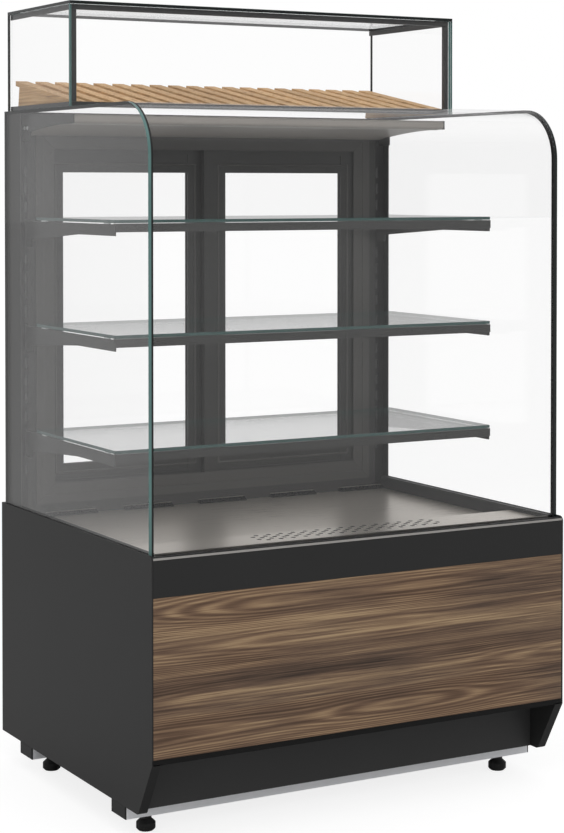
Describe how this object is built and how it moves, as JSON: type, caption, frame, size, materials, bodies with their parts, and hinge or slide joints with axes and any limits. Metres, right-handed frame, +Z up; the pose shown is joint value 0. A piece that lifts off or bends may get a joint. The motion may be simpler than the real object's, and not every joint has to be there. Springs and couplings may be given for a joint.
{
  "type": "ambient display case",
  "caption": "Free-standing glazed display case with bent front glass, glass shelves, rear sliding sashes, a slatted bread rack box on its roof and levelling feet.",
  "frame": {"origin": "on the floor below the centre of the case", "axes": "+X to the right seen from the front, +Y from the front to the rear where the sashes are, +Z up"},
  "size_m": [0.9, 0.712, 1.538],
  "materials": {
    "anthracite_paint": "satin powder coat",
    "kick_paint": "satin powder coat",
    "inner_grey_paint": "satin powder coat",
    "stainless_steel": "fine brushed",
    "rail_steel": "satin",
    "anodised_aluminium": "satin anodised",
    "coated_aluminium": "satin powder coat",
    "clear_glass": "polished",
    "black_rubber": "matt",
    "black_plastic": "fine grain",
    "walnut": "satin lacquer",
    "oak": "oiled",
    "white_nylon": "smooth",
    "lamp_diffuser": "opal",
    "zinc_steel": "zinc plated",
    "clear_rubber": "smooth"
  },
  "bodies": {
    "cabinet": {"bread_box_front_glass": "clear_glass", "bread_box_lower_frame": "coated_aluminium", "bread_box_side_glasses": "clear_glass", "bread_box_top_glass": "clear_glass", "bread_box_upper_frame": "coated_aluminium", "bread_slats": "oak", "canopy_arms": "inner_grey_paint", "canopy_sheet": "inner_grey_paint", "deck_support_angles": "zinc_steel", "deck_vents": "stainless_steel", "display_deck": "stainless_steel", "foot_bushes": "zinc_steel", "front_base_rail": "rail_steel", "front_deck_grille": "stainless_steel", "front_fascia": "anthracite_paint", "front_frame_sheet": "anthracite_paint", "front_glass": "clear_glass", "front_glazing_channel": "anodised_aluminium", "front_glazing_gasket": "black_rubber", "kick_plate": "kick_paint", "lamp_driver": "black_plastic", "lamp_strip": "lamp_diffuser", "left_pillar": "inner_grey_paint", "left_side_glass": "clear_glass", "left_side_panel": "anthracite_paint", "light_switch_housing": "black_plastic", "lower_shelf_brackets": "inner_grey_paint", "lower_shelf_glass": "clear_glass", "lower_shelf_rail": "inner_grey_paint", "middle_shelf_brackets": "inner_grey_paint", "middle_shelf_glass": "clear_glass", "middle_shelf_rail": "inner_grey_paint", "pane_joint_beads": "black_rubber", "rail_end_caps": "black_plastic", "rear_base_panel": "anthracite_paint", "rear_base_rail": "rail_steel", "rear_frame": "coated_aluminium", "right_pillar": "inner_grey_paint", "right_side_glass": "clear_glass", "right_side_panel": "anthracite_paint", "shelf_pads": "clear_rubber", "slat_carrier": "oak", "underfloor_panel": "kick_paint", "upper_shelf_brackets": "inner_grey_paint", "upper_shelf_glass": "clear_glass", "upper_shelf_rail": "inner_grey_paint", "wood_front_panel": "walnut"},
    "left_sash": {"left_sash_frame": "coated_aluminium", "left_sash_glass": "clear_glass"},
    "right_sash": {"right_sash_frame": "coated_aluminium", "right_sash_glass": "clear_glass"},
    "light_rocker": {"light_switch_rocker": "black_plastic"},
    "left_sash_roller_inner": {"left_sash_roller_inner": "white_nylon"},
    "left_sash_roller_outer": {"left_sash_roller_outer": "white_nylon"},
    "right_sash_roller_inner": {"right_sash_roller_inner": "white_nylon"},
    "right_sash_roller_outer": {"right_sash_roller_outer": "white_nylon"},
    "foot_front_left": {"levelling_foot_front_left": "black_plastic"},
    "foot_front_right": {"levelling_foot_front_right": "black_plastic"},
    "foot_rear_left": {"levelling_foot_rear_left": "black_plastic"},
    "foot_rear_right": {"levelling_foot_rear_right": "black_plastic"}
  },
  "joints": [
    {"name": "left_sash_slide", "type": "slide", "parent": "cabinet", "child": "left_sash", "axis": [1, 0, 0], "range_m": [0, 0.384]},
    {"name": "right_sash_slide", "type": "slide", "parent": "cabinet", "child": "right_sash", "axis": [-1, 0, 0], "range_m": [0, 0.384]},
    {"name": "light_rocker_tilt", "type": "hinge", "parent": "cabinet", "child": "light_rocker", "pos_m": [0.33, 0.348, 0.44], "axis": [-1, 0, 0], "range_deg": [0, 16]},
    {"name": "left_sash_roller_turn_inner", "type": "hinge", "parent": "left_sash", "child": "left_sash_roller_inner", "pos_m": [-0.07, 0.323, 0.5453], "axis": [0, 1, 0], "range_deg": [0, 2751]},
    {"name": "left_sash_roller_turn_outer", "type": "hinge", "parent": "left_sash", "child": "left_sash_roller_outer", "pos_m": [-0.299, 0.323, 0.5453], "axis": [0, 1, 0], "range_deg": [0, 2751]},
    {"name": "right_sash_roller_turn_inner", "type": "hinge", "parent": "right_sash", "child": "right_sash_roller_inner", "pos_m": [0.07, 0.303, 0.5453], "axis": [0, -1, 0], "range_deg": [0, 2751]},
    {"name": "right_sash_roller_turn_outer", "type": "hinge", "parent": "right_sash", "child": "right_sash_roller_outer", "pos_m": [0.299, 0.303, 0.5453], "axis": [0, -1, 0], "range_deg": [0, 2751]},
    {"name": "foot_front_left_turn", "type": "hinge", "parent": "cabinet", "child": "foot_front_left", "pos_m": [-0.394, -0.213, 0], "axis": [0, 0, 1], "continuous": true},
    {"name": "foot_front_right_turn", "type": "hinge", "parent": "cabinet", "child": "foot_front_right", "pos_m": [0.394, -0.213, 0], "axis": [0, 0, 1], "continuous": true},
    {"name": "foot_rear_left_turn", "type": "hinge", "parent": "cabinet", "child": "foot_rear_left", "pos_m": [-0.394, 0.229, 0], "axis": [0, 0, 1], "continuous": true},
    {"name": "foot_rear_right_turn", "type": "hinge", "parent": "cabinet", "child": "foot_rear_right", "pos_m": [0.394, 0.229, 0], "axis": [0, 0, 1], "continuous": true}
  ],
  "couplings": [
    {"joint": "left_sash_roller_turn_inner", "follows": "left_sash_slide", "rad_per_m": 125},
    {"joint": "left_sash_roller_turn_outer", "follows": "left_sash_slide", "rad_per_m": 125},
    {"joint": "right_sash_roller_turn_inner", "follows": "right_sash_slide", "rad_per_m": 125},
    {"joint": "right_sash_roller_turn_outer", "follows": "right_sash_slide", "rad_per_m": 125}
  ]
}
